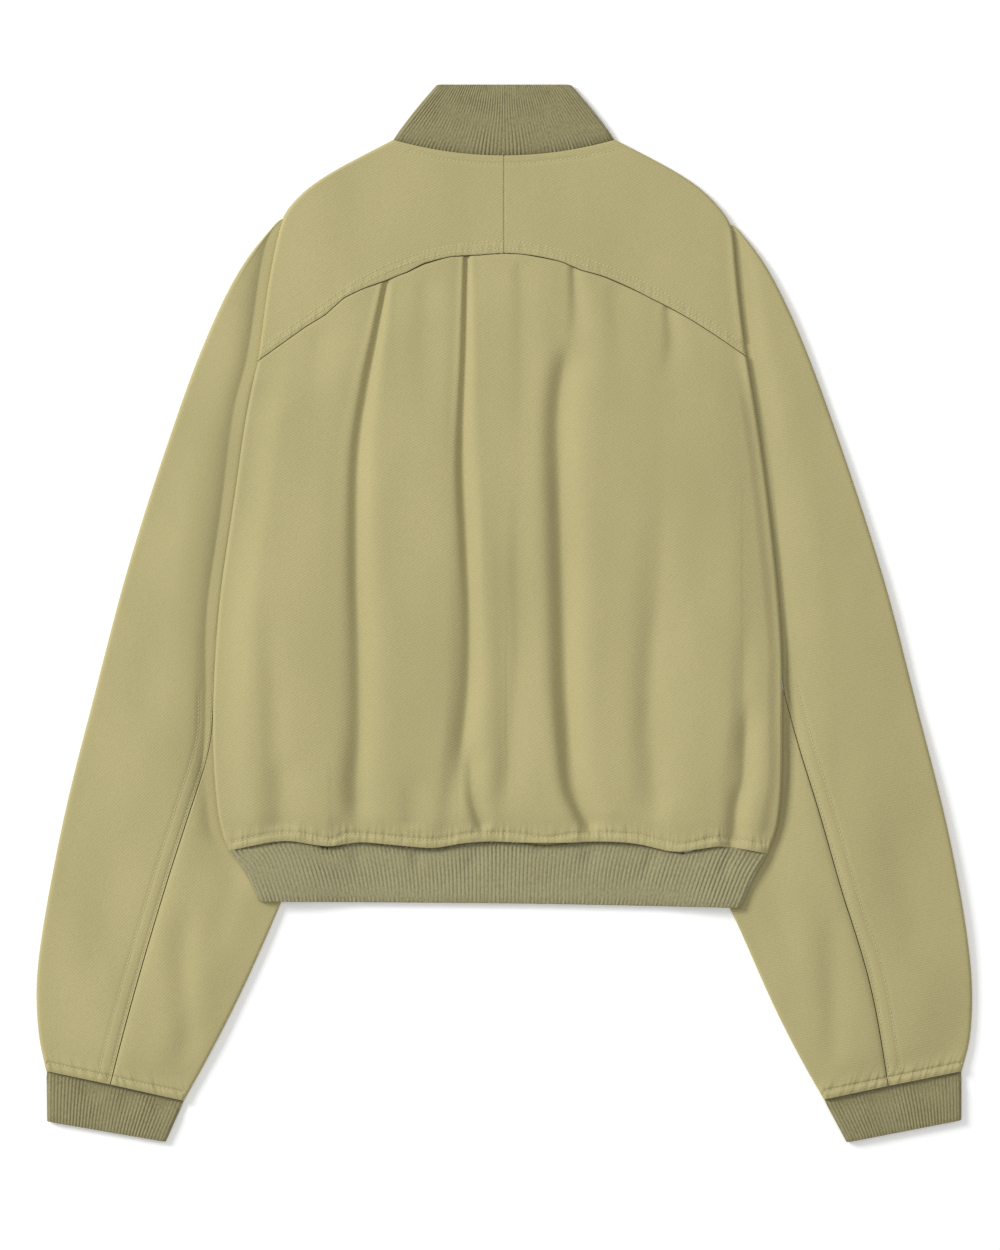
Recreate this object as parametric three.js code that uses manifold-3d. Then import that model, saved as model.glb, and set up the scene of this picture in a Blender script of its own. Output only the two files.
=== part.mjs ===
// A cropped bomber jacket laid flat on its front with its back uppermost: a pieced cloth shell,
// a rib knit collar, cuffs and hem, and a front zip. Millimetres; +Y to the collar, +Z up.
import * as THREE from 'three';
import { mergeVertices } from 'three/addons/utils/BufferGeometryUtils.js';
import Module from 'manifold-3d';

const wasm = await Module();
wasm.setup();

// Thicknesses and heights of the layers
const CLOTH = 1.5;
const KNIT = 2.4;
const SEAM_GAP = 0.3;
const SEAM_INSET = 0.34;
const HEM_INSET = 0.7;
const BODY_HEIGHT = 6.4;
const PRESSED_HEIGHT = 4.6;
const SLEEVE_HEIGHT = 6.4;
const SEAM_DIP_HEIGHT = 3.6;
const KNIT_HEIGHT = 5.6;
const LAYER_GAP = 0.6;
const BODY_LIFT = PRESSED_HEIGHT + LAYER_GAP;
const LIFT_RUN = 55;
const SLEEVE_RISE_RUN = 14;

// Back panel fullness
const PUFF = 5;
const PUFF_AT_YOKE = 1.6;
const PUFF_RUN = 30;
const BAND_WIDTH = 7;
const BAND_RAISE = 0.8;

// Neck, collar and rib knit
const NECK_HALF = 89;
const NECK_LOW = 367.2;
const NECK_RISE = 12.6;
const FRONT_NECK_LOW = 306;
const FRONT_HEM = -185.5;
const COLLAR_TOP = 423.6;
const COLLAR_TOP_HALF = 54;
const COLLAR_HEIGHT = 56;
const COLLAR_RIBS = 60;
const HEM_RIBS = 125;
const CUFF_RIBS = 38;
const RIB_RAISE = 0.45;

// Zip
const ZIP_SLOT_HALF = 6;
const KNIT_SLOT_HALF = 15.2;
const TAPE_WIDTH = 12;
const TAPE_THICK = 1;
const TAPE_Z = CLOTH + SEAM_GAP;
const CHAIN_HALF = 2.6;
const CHAIN_THICK = 1.5;

const cloth = new THREE.MeshStandardMaterial({ color: 0xb4ac78, roughness: 0.9, metalness: 0 });
const knit = new THREE.MeshStandardMaterial({ color: 0x9c966c, roughness: 0.95, metalness: 0 });
const tapeCloth = new THREE.MeshStandardMaterial({ color: 0x6e683f, roughness: 0.9, metalness: 0 });
const metal = new THREE.MeshStandardMaterial({ color: 0x8d8a80, roughness: 0.4, metalness: 1 });

const jacket = new THREE.Group();

const table = (names, ...rows) =>
  rows.map((row) => Object.fromEntries(names.split(' ').map((name, i) => [name, row[i]])));

// Outlines of each side, from the shoulder down: x across, y towards the collar
const SIDES = {
  left: {
    sign: -1,
    shoulder: table('x y', [-178.4, 316], [-167, 333], [-145, 350], [-116, 366], [-89, 380]),
    armhole: table('x y', [-178.4, 316], [-188, 271], [-197.5, 202], [-206, 165], [-215, 99],
      [-228, 10], [-232.4, -61]),
    bodySide: table('x y', [-232.4, -61], [-232.8, -106], [-230.4, -145], [-226, -176], [-220, -190]),
    hemSide: table('x y', [-220, -190.4], [-205, -205], [-196, -230]),
    sleeveTop: table('x y', [-184, 311.5], [-209, 281], [-241, 215], [-270, 135], [-301, 38], [-326, -57]),
    sleeveLow: table('x y', [-326, -57], [-352, -161], [-373, -276], [-376, -317], [-366.5, -365.7]),
    backSeam: table('x y', [-232.4, -61], [-235, -104], [-252, -160], [-270, -216], [-298, -311],
      [-315, -376.4]),
    underarm: table('x y', [-226.5, -62.5], [-193.6, -85], [-163, -149], [-163, -189], [-178, -230],
      [-219, -322], [-256, -389.6]),
    cuffSeam: table('x y', [-366.5, -366], [-256, -389.9]),
    cuffEnd: table('x y', [-366, -406], [-270.5, -422.5]),
  },
  right: {
    sign: 1,
    shoulder: table('x y', [183.2, 310.5], [166, 333], [146, 349], [118, 365], [89, 380]),
    armhole: table('x y', [183.2, 310.5], [186, 274], [192.4, 217.6], [201, 165], [209, 112],
      [221.6, -10], [222.4, -57]),
    bodySide: table('x y', [222.4, -57], [222.6, -93], [222.2, -135], [219, -170], [211, -192.4]),
    hemSide: table('x y', [211, -192.8], [200, -209], [189.5, -235]),
    sleeveTop: table('x y', [188, 307.5], [204, 289], [233, 233], [268, 140], [306, 22], [326.4, -57]),
    sleeveLow: table('x y', [326.4, -57], [357, -180], [373.5, -276], [376, -326], [366.5, -365.7]),
    backSeam: table('x y', [222.4, -57], [237, -110], [249.6, -150], [275, -238], [292, -289],
      [307.5, -377.6]),
    underarm: table('x y', [216.5, -58.5], [187, -85], [157, -149], [157, -189], [181.6, -236],
      [223, -330], [256, -388.6]),
    cuffSeam: table('x y', [366.5, -366], [256, -388.9]),
    cuffEnd: table('x y', [366.4, -405], [274, -423]),
  },
};

// Seams across the back, x against y
const YOKE_SEAM = table('x y', [-197.5, 202], [-158, 230], [-113, 260], [-67, 279], [-20, 287],
  [17, 287], [61, 276], [116, 254], [170, 222], [195, 205]);
const HEM_SEAM = table('x y', [-220, -190], [-174, -182], [-139, -187.5], [-120, -183], [-59, -188],
  [-25, -183], [10, -183.5], [34, -186.4], [62, -183], [103, -184], [141, -191.6], [172, -186.5],
  [211, -192.4]);
const HEM_END = table('x y', [-196, -230], [0, -231.5], [189.5, -235]);

// Folds hanging from the yoke: x at five heights from hem to yoke, the share of the fullness that
// each valley takes there, and its half width on either side
const FOLDS = table('x0 x1 x2 x3 x4 d0 d1 d2 d3 d4 left right',
  [-183, -183, -190, -184, -160, 0.5, 0.5, 0, 0, 0, 10, 12],
  [-116, -117, -119, -117, -95, 0.9, 1, 1, 1, 1, 17, 11],
  [-46, -31, -30, -35, -31, 0.8, 0.95, 0.9, 0.95, 1, 10, 9],
  [-2, 0, -2, 0, 5, 0.3, 0.45, 0.2, 0, 0, 9, 9],
  [70, 45, 42, 39, 54, 0.9, 1, 1, 0.9, 0.6, 9, 16],
  [121, 113, 119, 127, 129, 0.6, 0.7, 0.4, 0.2, 0.5, 12, 12],
  [178, 192, 196, 189, 172, 0.9, 0.95, 0.3, 0, 0, 10, 8]);

const clamp = (v) => Math.min(1, Math.max(0, v));
const smooth = (v) => clamp(v) * clamp(v) * (3 - 2 * clamp(v));
const mix = (a, b, t) => a + (b - a) * t;
const point = (x, y, z = 0) => new THREE.Vector3(x, y, z);
const range = (n, from = 0, to = 1) => Array.from({ length: n + 1 }, (_, i) => mix(from, to, i / n));

function curve(rows) {
  return new THREE.CatmullRomCurve3(rows.map((row) => point(row.x, row.y)), false, 'centripetal');
}

function backwards(rows) {
  return [...rows].reverse();
}

// Height of a table row's y at any x, by smooth interpolation
function seamHeight(rows, x) {
  const last = rows.length - 2;
  const k = Math.min(last, Math.max(0, rows.findIndex((row) => row.x > x) - 1));
  const i = x >= rows[rows.length - 1].x ? last : k;
  const slope = (n) => {
    const a = rows[Math.max(0, n - 1)];
    const b = rows[Math.min(rows.length - 1, n + 1)];
    return (b.y - a.y) / (b.x - a.x);
  };
  const step = rows[i + 1].x - rows[i].x;
  const t = clamp((x - rows[i].x) / step);
  const rise = rows[i + 1].y - rows[i].y;
  const [a, b] = [slope(i) * step - rise, rise - slope(i + 1) * step];
  return rows[i].y + rise * t + t * (1 - t) * (a * (1 - t) + b * t);
}

const neckHeight = (x) => NECK_LOW + NECK_RISE * (x / NECK_HALF) ** 2;

// Plan outlines, used to tell where the body lies on a sleeve
const bodyOutline = Object.values(SIDES).flatMap((side) => {
  const down = [side.shoulder[4], side.shoulder[2], ...curve(side.armhole).getPoints(12),
    ...curve(side.bodySide).getPoints(6), ...curve(side.hemSide).getPoints(3)];
  return side.sign < 0 ? down : down.reverse();
});

const hiddenSleeves = Object.values(SIDES).map((side) => [
  side.armhole[side.armhole.length - 1],
  ...curve(side.underarm).getPoints(18).filter((p) => p.y > -300),
  point(side.sign * 300, -300),
  point(side.sign * 300, side.armhole[side.armhole.length - 1].y),
]);

function outsideDistance(x, y, outline) {
  let inside = false;
  let nearest = Infinity;
  outline.forEach((a, i) => {
    const b = outline[(i + 1) % outline.length];
    if (a.y > y !== b.y > y && x < a.x + ((y - a.y) * (b.x - a.x)) / (b.y - a.y)) inside = !inside;
    const [dx, dy] = [b.x - a.x, b.y - a.y];
    const t = clamp(((x - a.x) * dx + (y - a.y) * dy) / (dx * dx + dy * dy || 1));
    nearest = Math.min(nearest, Math.hypot(x - a.x - t * dx, y - a.y - t * dy));
  });
  return inside ? 0 : nearest;
}

// Share of the full lift that the body has at a place: all of it over a sleeve, none far away
function liftShare(x, y) {
  const away = Math.min(...hiddenSleeves.map((outline) => outsideDistance(x, y, outline)));
  return 1 - smooth((away - 3) / LIFT_RUN);
}

const lift = (x, y) => BODY_LIFT * liftShare(x, y);
const bodyHeight = (x, y) => mix(BODY_HEIGHT, PRESSED_HEIGHT, liftShare(x, y));

function sleeveHeight(x, y) {
  const low = mix(SEAM_DIP_HEIGHT, PRESSED_HEIGHT, liftShare(x, y));
  return mix(low, SLEEVE_HEIGHT, smooth((outsideDistance(x, y, bodyOutline) - 5) / SLEEVE_RISE_RUN));
}

// A closed wall from a grid of outer points: each column steps across, each row along. The inner
// face follows it at the wall's thickness, over the columns kept, and ribs are raised outside only.
function wall(name, material, thickness, grid, { flip = false, closed = false, raise, keep } = {}) {
  const face = flip ? grid.map((row) => [...row].reverse()) : grid;
  const rows = face.length;
  const columns = face[0].length;
  const near = (i, j) => face[Math.min(rows - 1, Math.max(0, i))][
    closed ? (j + columns) % columns : Math.min(columns - 1, Math.max(0, j))];
  const normals = face.map((row, i) => row.map((_, j) => {
    const across = near(i, j + 1).clone().sub(near(i, j - 1));
    const along = near(i + 1, j).clone().sub(near(i - 1, j));
    if (i === 0 || i === rows - 1) along.setZ(0);
    const n = across.cross(along).normalize();
    const sideEdge = !closed && (j === 0 || j === columns - 1);
    if (sideEdge && Math.abs(n.z) > 0.75) n.set(0, 0, Math.sign(n.z));
    if (sideEdge && Math.abs(n.z) < 0.55) n.setZ(0).normalize();
    if (i === 0 || i === rows - 1) {
      if (Math.abs(n.z) > 0.75) n.set(0, 0, Math.sign(n.z));
    }
    return n;
  }));
  const kept = face[0].map((_, j) => j).filter((j) => !keep || keep(flip ? columns - 1 - j : j));
  const points = [];
  const add = (p) => points.push(p) - 1;
  const outer = face.map((row, i) => row.map((p, j) => {
    const lifted = raise ? raise(i, flip ? columns - 1 - j : j) : 0;
    return add(p.clone().addScaledVector(normals[i][j], lifted));
  }));
  const inner = face.map((row, i) => kept.map((j) =>
    add(row[j].clone().addScaledVector(normals[i][j], -thickness))));
  const index = [];
  const skin = (ids, outward) => {
    const wrap = closed ? ids[0].length : ids[0].length - 1;
    for (let i = 0; i + 1 < ids.length; i += 1) {
      for (let j = 0; j < wrap; j += 1) {
        const k = (j + 1) % ids[0].length;
        const [a, b, c, d] = [ids[i][j], ids[i][k], ids[i + 1][k], ids[i + 1][j]];
        if (outward) index.push(a, b, c, a, c, d);
        else index.push(a, c, b, a, d, c);
      }
    }
  };
  const stitch = (o, n, marks) => {
    let k = 0;
    for (let j = 0; j < o.length - 1; j += 1) {
      index.push(o[j + 1], o[j], n[k]);
      if (marks[k + 1] === j + 1) {
        index.push(n[k], n[k + 1], o[j + 1]);
        k += 1;
      }
    }
  };
  skin(outer, true);
  skin(inner, false);
  const ring = (ids) => (closed ? [...ids, ids[0]] : [...ids]);
  const end = closed ? columns : columns - 1;
  const marks = closed ? [...kept, columns] : kept;
  const steps = face.map((_, i) => i);
  stitch(ring(outer[0]), ring(inner[0]), marks);
  stitch(ring(outer[rows - 1]).reverse(), ring(inner[rows - 1]).reverse(),
    marks.map((mark) => end - mark).reverse());
  if (!closed) {
    stitch(outer.map((row) => row.at(-1)), inner.map((row) => row.at(-1)), steps);
    stitch(outer.map((row) => row[0]).reverse(), inner.map((row) => row[0]).reverse(), steps);
  }
  const geometry = new THREE.BufferGeometry().setFromPoints(points);
  geometry.setIndex(index);
  geometry.computeVertexNormals();
  const mesh = new THREE.Mesh(geometry, material);
  mesh.name = name;
  jacket.add(mesh);
}

// A plan patch between four edges: u runs from left to right, v from bottom to top
function patch(left, right, bottom, top) {
  return (u, v) => {
    const [l, r] = [left.getPointAt(v), right.getPointAt(v)];
    const [b, t] = [bottom(u), top(u)];
    const corner = (w, e) => mix(mix(left.getPointAt(0)[w], right.getPointAt(0)[w], u),
      mix(left.getPointAt(1)[w], right.getPointAt(1)[w], u), v) * e;
    return point(mix(l.x, r.x, u) + mix(b.x, t.x, v) - corner('x', 1),
      mix(l.y, r.y, u) + mix(b.y, t.y, v) - corner('y', 1));
  };
}

// Distance in from a turned edge and height above its foot, for a turn of the given angle
function turnedEdge(radius, angle, steps = 3) {
  const length = (Math.PI / 2) * radius;
  const bend = Math.max(angle, 1e-3) / length;
  return range(steps).map((t) => ({
    inward: (Math.sin(bend * length) - Math.sin(bend * length * t)) / bend,
    height: (1 - Math.cos(bend * length * t)) / bend,
  })).reverse();
}

const FULL_TURN = Math.PI / 2;

// The back's outer face at a plan place: lifted over the sleeves and full between its folds
function backTop(x, y, fullness) {
  return lift(x, y) + bodyHeight(x, y) + fullness;
}

// One row of a body panel: turned edges at the ends, then plain steps between them
function bodyRow(at, v, { left, right, inner, face }) {
  const span = at(0, v).distanceTo(at(1, v));
  const out = [];
  const turn = (end, u) => {
    const edge = at(end, v);
    const radius = bodyHeight(edge.x, edge.y) / 2;
    const steps = turnedEdge(radius, u(v) - SEAM_GAP / radius);
    return steps.map(({ inward, height }) => {
      const p = at(end === 0 ? inward / span : 1 - inward / span, v);
      p.z = face(p, height, radius, true);
      return p;
    });
  };
  if (left) out.push(...turn(0, left));
  inner(span, v).forEach(({ u, fullness }) => {
    const p = at(u, v);
    p.z = face(p, 0, 0, false, fullness);
    out.push(p);
  });
  if (right) out.push(...turn(1, right).reverse());
  return out;
}

const topFace = (p, height, radius, turned, fullness = 0) => (turned
  ? lift(p.x, p.y) + bodyHeight(p.x, p.y) - height
  : backTop(p.x, p.y, fullness));

// Each side's edge, walked up the side seam, the armhole and the shoulder, with the places that
// every piece meeting there has a row at
const LOWER_SIDE = [0, 0.045, 0.17, 0.38, 0.62, 0.82, 1];
const LOWER_ARMHOLE = [0.1, 0.21, 0.33, 0.47, 0.62, 0.78, 0.9, 1];
const UPPER_ARMHOLE = [0.25, 0.5, 0.75, 1];
const SHOULDER = [0.12, 0.3, 0.5, 0.75, 1];

// Share of a path at which it has risen to a height
function shareAtHeight(path, y) {
  let [low, high] = [0, 1];
  for (let i = 0; i < 30; i += 1) {
    const middle = (low + high) / 2;
    if (path.getPointAt(middle).y < y) low = middle;
    else high = middle;
  }
  return low;
}

const YOKE_END = 204;
for (const side of Object.values(SIDES)) {
  side.seam = curve(backwards(side.bodySide));
  side.hole = curve(backwards(side.armhole));
  side.top = curve(side.shoulder);
  side.split = shareAtHeight(side.hole, YOKE_END);
  const low = LOWER_ARMHOLE.map((t) => t * side.split);
  const high = UPPER_ARMHOLE.map((t) => mix(side.split, 1, t));
  side.holeStations = [...low, ...high];
  const points = (path, stations) => stations.map((t) => path.getPointAt(t));
  side.backEdge = [...points(side.seam, LOWER_SIDE), ...points(side.hole, low)];
  const yokeStart = side.hole.getPointAt(side.split);
  side.yokeEdge = [yokeStart, ...points(side.hole, high), ...points(side.top, SHOULDER)];
  side.frontEdge = [...side.backEdge, ...side.yokeEdge.slice(1)];
}

// Distance shares along a run of points, and the run itself as an edge of a patch
function stationEdge(points) {
  const lengths = points.map((p, i) => (i ? p.distanceTo(points[i - 1]) : 0));
  const total = lengths.reduce((a, b) => a + b, 0);
  let walked = 0;
  const shares = lengths.map((d) => {
    walked += d;
    return walked / total;
  });
  shares[shares.length - 1] = 1;
  const getPointAt = (t) => {
    const i = Math.min(points.length - 2, Math.max(0, shares.findIndex((share) => share > t + 1e-9) - 1));
    const k = t >= 1 ? points.length - 2 : i;
    return points[k].clone().lerp(points[k + 1], (t - shares[k]) / (shares[k + 1] - shares[k]));
  };
  return { shares, getPointAt };
}

// The same stations on the other edge, matched by their order
function matchedEdge(points, shares) {
  return {
    getPointAt: (t) => {
      const found = shares.findIndex((share) => share >= t - 1e-9);
      const k = Math.max(0, Math.min(points.length - 2, found - 1));
      return points[k].clone().lerp(points[k + 1], clamp((t - shares[k]) / (shares[k + 1] - shares[k])));
    },
  };
}

const backLeft = stationEdge(SIDES.left.backEdge);
const backRight = matchedEdge(SIDES.right.backEdge, backLeft.shares);

function foldAt(fold, v) {
  const s = clamp(v) * 4;
  const k = Math.min(3, Math.floor(s));
  const t = smooth(s - k);
  return { x: mix(fold[`x${k}`], fold[`x${k + 1}`], s - k), depth: mix(fold[`d${k}`], fold[`d${k + 1}`], t) };
}

function fullnessAt(x, v, edgeDistance, height) {
  const full = mix(PUFF, PUFF_AT_YOKE, smooth((v - 0.45) / 0.55));
  const hem = mix(0.35, 1, smooth((height - BAND_WIDTH) / 40));
  const open = FOLDS.reduce((share, fold) => {
    const { x: centre, depth } = foldAt(fold, v);
    const width = x < centre ? fold.left : fold.right;
    return share * (1 - depth * Math.exp(-(((x - centre) / width) ** 2) * 1.4));
  }, 1);
  return full * hem * open * smooth(edgeDistance / PUFF_RUN);
}

const FOLD_STEPS = [-1.5, -0.75, 0, 0.75, 1.5];

{
  const hemEdge = (u) => {
    const x = mix(backLeft.getPointAt(0).x, backRight.getPointAt(0).x, u);
    return point(x, seamHeight(HEM_SEAM, x) + HEM_INSET);
  };
  const yokeEdge = (u) => {
    const x = mix(backLeft.getPointAt(1).x, backRight.getPointAt(1).x, u);
    return point(x, seamHeight(YOKE_SEAM, x) - SEAM_INSET);
  };
  const at = patch(backLeft, backRight, hemEdge, yokeEdge);
  const inner = (span, v) => {
    const [l, r] = [at(0, v), at(1, v)];
    const stations = FOLDS.flatMap((fold) => FOLD_STEPS.map((step) =>
      foldAt(fold, v).x + step * (step < 0 ? fold.left : fold.right)));
    const edge = 8;
    const inside = [l.x + edge, ...stations, r.x - edge].map((x) =>
      Math.min(r.x - edge, Math.max(l.x + edge, x))).sort((a, b) => a - b);
    const spread = inside.map((x, i) => mix(x, mix(l.x + edge, r.x - edge, i / (inside.length - 1)), 0.12));
    return spread.map((x) => {
      const u = (x - l.x) / (r.x - l.x);
      const p = at(u, v);
      const fromHem = p.y - seamHeight(HEM_SEAM, p.x);
      const band = fromHem < BAND_WIDTH * 0.9 ? BAND_RAISE : 0;
      const fullness = fullnessAt(x, v, Math.min(x - l.x, r.x - x) - 4, fromHem);
      return { u, fullness: fullness + band };
    });
  };
  const turn = () => FULL_TURN;
  const grid = backLeft.shares.map((v) => bodyRow(at, v, { left: turn, right: turn, inner, face: topFace }));
  wall('back_panel', cloth, CLOTH, grid, { flip: false });
}

// Yokes: armhole and shoulder to the centre-back seam, yoke seam to neck seam
for (const [name, side] of Object.entries(SIDES)) {
  const s = side.sign;
  const outer = stationEdge(side.yokeEdge);
  const low = side.yokeEdge[0];
  const middle = (s * SEAM_GAP) / 2;
  const centre = new THREE.LineCurve3(point(middle, seamHeight(YOKE_SEAM, middle)),
    point(middle, neckHeight(middle)));
  const yokeEdge = (u) => {
    const x = mix(low.x, middle, u);
    return point(x, seamHeight(YOKE_SEAM, x) + SEAM_INSET);
  };
  const neckEdge = (u) => {
    const x = mix(s * NECK_HALF, middle, u);
    return point(x, neckHeight(x) - SEAM_INSET);
  };
  const at = patch(outer, centre, yokeEdge, neckEdge);
  const inner = (span, v) => range(14, 8 / span, 1).map((u) => ({
    u,
    fullness: PUFF_AT_YOKE * smooth((u * span - 4) / PUFF_RUN) * (1 - smooth(v)),
  }));
  const grid = outer.shares.map((v) =>
    bodyRow(at, v, { left: () => FULL_TURN, inner, face: topFace }));
  wall(`back_yoke_${name}`, cloth, CLOTH, grid, { flip: s > 0 });
}

// Fronts: flat on the surface, turned up at the side seam and at the shoulder
for (const [name, side] of Object.entries(SIDES)) {
  const s = side.sign;
  const outer = stationEdge(side.frontEdge);
  const slot = s * ZIP_SLOT_HALF;
  const centre = new THREE.LineCurve3(point(slot, FRONT_HEM), point(slot, FRONT_NECK_LOW));
  const hemEdge = (u) => {
    const end = outer.getPointAt(0);
    return point(mix(end.x, slot, u), mix(end.y, FRONT_HEM, u) + 3 * SEAM_INSET);
  };
  const neckEdge = (u) => {
    const x = mix(NECK_HALF, ZIP_SLOT_HALF, u);
    return point(s * x, frontNeckHeight(x) - SEAM_INSET);
  };
  const at = patch(outer, centre, hemEdge, neckEdge);
  const armpit = side.armhole.at(-1).y;
  const shoulder = side.shoulder[0].y;
  const turn = (v) => {
    const y = outer.getPointAt(v).y;
    return FULL_TURN * (1 - smooth((y - armpit - 4) / 40) * (1 - smooth((y - shoulder + 12) / 24)));
  };
  const inner = (span) => range(9).map((t) => ({ u: mix(8 / span, 1, t ** 1.4) }));
  const bottom = (p, height) => lift(p.x, p.y) + height;
  const grid = outer.shares.map((v) => bodyRow(at, v, { left: turn, inner, face: bottom }));
  wall(`front_${name}`, cloth, CLOTH, grid, { flip: s < 0 });
}

function frontNeckHeight(x) {
  const t = clamp((x - ZIP_SLOT_HALF) / (NECK_HALF - ZIP_SLOT_HALF));
  return mix(FRONT_NECK_LOW, neckHeight(NECK_HALF), 0.35 * t + 0.65 * t ** 2.2);
}

const SLEEVE_FOLD_STEPS = 6;

// One section of a sleeve piece: over the top from its back edge to the fold, round it, and back
// underneath to its front edge
function sleeveRow(back, fold, front, { shares, bottomSteps, gap }) {
  const out = fold.clone().sub(back).setZ(0);
  const width = out.length();
  out.normalize();
  const radius = sleeveHeight(fold.x, fold.y) / 2;
  const straight = width - radius;
  const onTop = (distance) => {
    const p = back.clone().addScaledVector(out, distance);
    p.z = Math.min(sleeveHeight(p.x, p.y), mix(9, 2 * radius, smooth(distance / straight)));
    return p;
  };
  const row = shares(back, fold).map((share) => onTop(mix(gap, straight, share)));
  row.at(-1).z = 2 * radius;
  const centre = fold.clone().addScaledVector(out, -radius);
  range(SLEEVE_FOLD_STEPS).slice(1, -1).forEach((t) => {
    const angle = Math.PI * (0.5 - t);
    const p = centre.clone().addScaledVector(out, radius * Math.cos(angle));
    p.z = radius + radius * Math.sin(angle);
    row.push(p);
  });
  const foot = front.clone().sub(centre).setZ(0);
  const reach = foot.length() - gap;
  foot.normalize();
  range(bottomSteps).forEach((t) => row.push(centre.clone().addScaledVector(foot, reach * t).setZ(0)));
  return row;
}

const FOREARM_STATIONS = [0.05, 0.11, 0.17, 0.24, 0.31, 0.37, 0.42, 0.47, 0.54, 0.65, 0.78, 0.91, 1];
const OUTER_SHARES = [0, 0.03, 0.09, 0.18, 0.38, 0.6, 0.82, 0.94, 1];
const UNDER_SHARES = [0, 0.35, 0.65, 0.85];

// Steps over the under sleeve that close up where the body's edge crosses it
function crossingShares(back, fold) {
  const clear = range(60).filter((t) => {
    const p = back.clone().lerp(fold, t);
    return outsideDistance(p.x, p.y, bodyOutline) > 1;
  });
  const crossing = clear.length > 55 ? 0.7 : Math.max(0.2, Math.min(0.85, clear.length / 61));
  return [...UNDER_SHARES.map((share) => share * crossing), crossing, mix(crossing, 1, 0.5), 1];
}

for (const side of Object.values(SIDES)) {
  const backSeam = curve(side.backSeam);
  const upper = curve(backwards(side.sleeveTop));
  const lower = curve(side.sleeveLow);
  const underarm = curve(side.underarm);
  const frontSeam = (t) => backSeam.getPointAt(t).lerp(underarm.getPointAt(t), 0.35 * smooth(t / 0.2));
  const top = { shares: () => OUTER_SHARES, bottomSteps: 3 };
  side.outerRows = [
    ...[0, ...side.holeStations].reverse().map((t) => sleeveRow(side.hole.getPointAt(t),
      upper.getPointAt(t), side.hole.getPointAt(t), { ...top, gap: SEAM_GAP })),
    ...FOREARM_STATIONS.map((t) => sleeveRow(backSeam.getPointAt(t), lower.getPointAt(t), frontSeam(t),
      { ...top, gap: SEAM_INSET })),
  ];
  side.underRows = [0, ...FOREARM_STATIONS].map((t) => sleeveRow(backSeam.getPointAt(t),
    underarm.getPointAt(t), frontSeam(t), { shares: crossingShares, bottomSteps: 3, gap: SEAM_INSET }));
}

for (const [name, side] of Object.entries(SIDES)) {
  wall(`sleeve_outer_${name}`, cloth, CLOTH, side.outerRows, { flip: side.sign > 0 });
  wall(`sleeve_under_${name}`, cloth, CLOTH, side.underRows, { flip: side.sign < 0 });
}

// A flattened strip of rib knit: ribs along the back run, turned ends, a plain run underneath
function knitRow(backRun, frontRuns, height) {
  const radius = KNIT_HEIGHT / 2;
  const row = [];
  const turnAt = (end, out, base, downwards) => {
    const steps = range(4).slice(1, -1).map((t) => {
      const angle = Math.PI * (downwards ? 0.5 - t : t - 0.5);
      const p = end.clone().addScaledVector(out, radius * Math.cos(angle));
      p.z = base + radius + radius * Math.sin(angle);
      return p;
    });
    return steps;
  };
  const first = backRun[0];
  const last = backRun.at(-1);
  const outFirst = first.clone().sub(backRun[1]).setZ(0).normalize();
  const outLast = last.clone().sub(backRun.at(-2)).setZ(0).normalize();
  const [frontFirst, frontLast] = frontRuns;
  frontFirst.forEach((p) => row.push(point(p.x, p.y, height(p.x, p.y))));
  row.push(...turnAt(first, outFirst, height(first.x, first.y), false));
  backRun.forEach((p) => row.push(point(p.x, p.y, height(p.x, p.y) + KNIT_HEIGHT)));
  row.push(...turnAt(last, outLast, height(last.x, last.y), true));
  frontLast.forEach((p) => row.push(point(p.x, p.y, height(p.x, p.y))));
  return row;
}

// Rib knit strip from a lower and an upper line at each level: back run between turned ends, and
// front runs from the centre front out to the left end and from the right end in to the centre
function knitStrip(name, ribs, levels, line, { flip, height, closed = false, frontSteps = 8 }) {
  const columns = ribs * 2;
  const radius = KNIT_HEIGHT / 2;
  let firstRib = 0;
  const grid = levels.map((level) => {
    const { back, front } = line(level);
    const backRun = range(columns, radius / back.length, 1 - radius / back.length).map(back.at);
    const [l, r] = [backRun[0], backRun.at(-1)];
    const run = (from, to, steps) => range(steps).map((t) => from.clone().lerp(to, t));
    const fronts = front
      ? [range(frontSteps, 1, 0).map((t) => front(l, -1, t ** 1.5)),
        range(frontSteps).map((t) => front(r, 1, t ** 1.5))]
      : [run(r, l, frontSteps).slice(1), [r]];
    firstRib = fronts[0].length + 3;
    return knitRow(backRun, fronts, height);
  });
  const width = grid[0].length;
  const rib = (j) => j - firstRib;
  wall(name, knit, KNIT, grid, {
    flip,
    closed,
    raise: (i, j) => (rib(j) > 0 && rib(j) < columns && rib(j) % 2 === 1 ? RIB_RAISE : 0),
    keep: (j) => rib(j) <= 0 || rib(j) >= columns || rib(j) % 10 === 0 || j >= width - 1,
  });
}

const straightLine = (a, b) => ({ length: a.distanceTo(b), at: (t) => a.clone().lerp(b, t) });

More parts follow.
